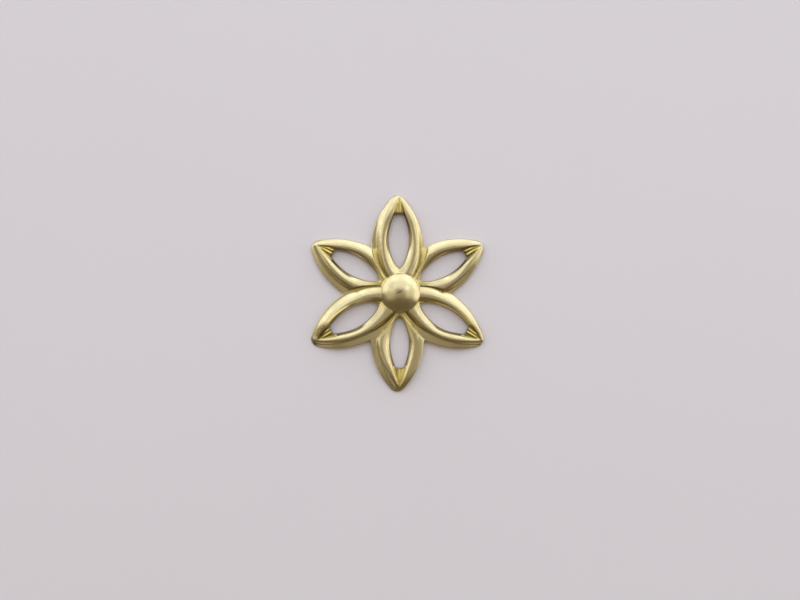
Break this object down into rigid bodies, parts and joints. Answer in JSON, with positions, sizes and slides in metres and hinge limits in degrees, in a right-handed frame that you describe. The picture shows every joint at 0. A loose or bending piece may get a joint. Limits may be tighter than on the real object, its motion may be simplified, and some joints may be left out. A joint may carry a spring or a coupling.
{
  "type": "flower finding",
  "caption": "Open flower stamping for jewellery: pointed petal loops of rounded brass limb round a domed boss, ribbed webs at the petal tips, hollow back.",
  "frame": {"origin": "centre of the trimmed flower outline, on the plane of its back", "axes": "+Z out of the domed face, +Y towards one petal tip, +X between two petals"},
  "size_m": [0.0264, 0.03, 0.0025],
  "materials": {
    "brass": "satin raw brass, pale, fine brushed, golden in the grooves"
  },
  "bodies": {
    "root": {"flower_stamping": "brass"}
  },
  "joints": []
}
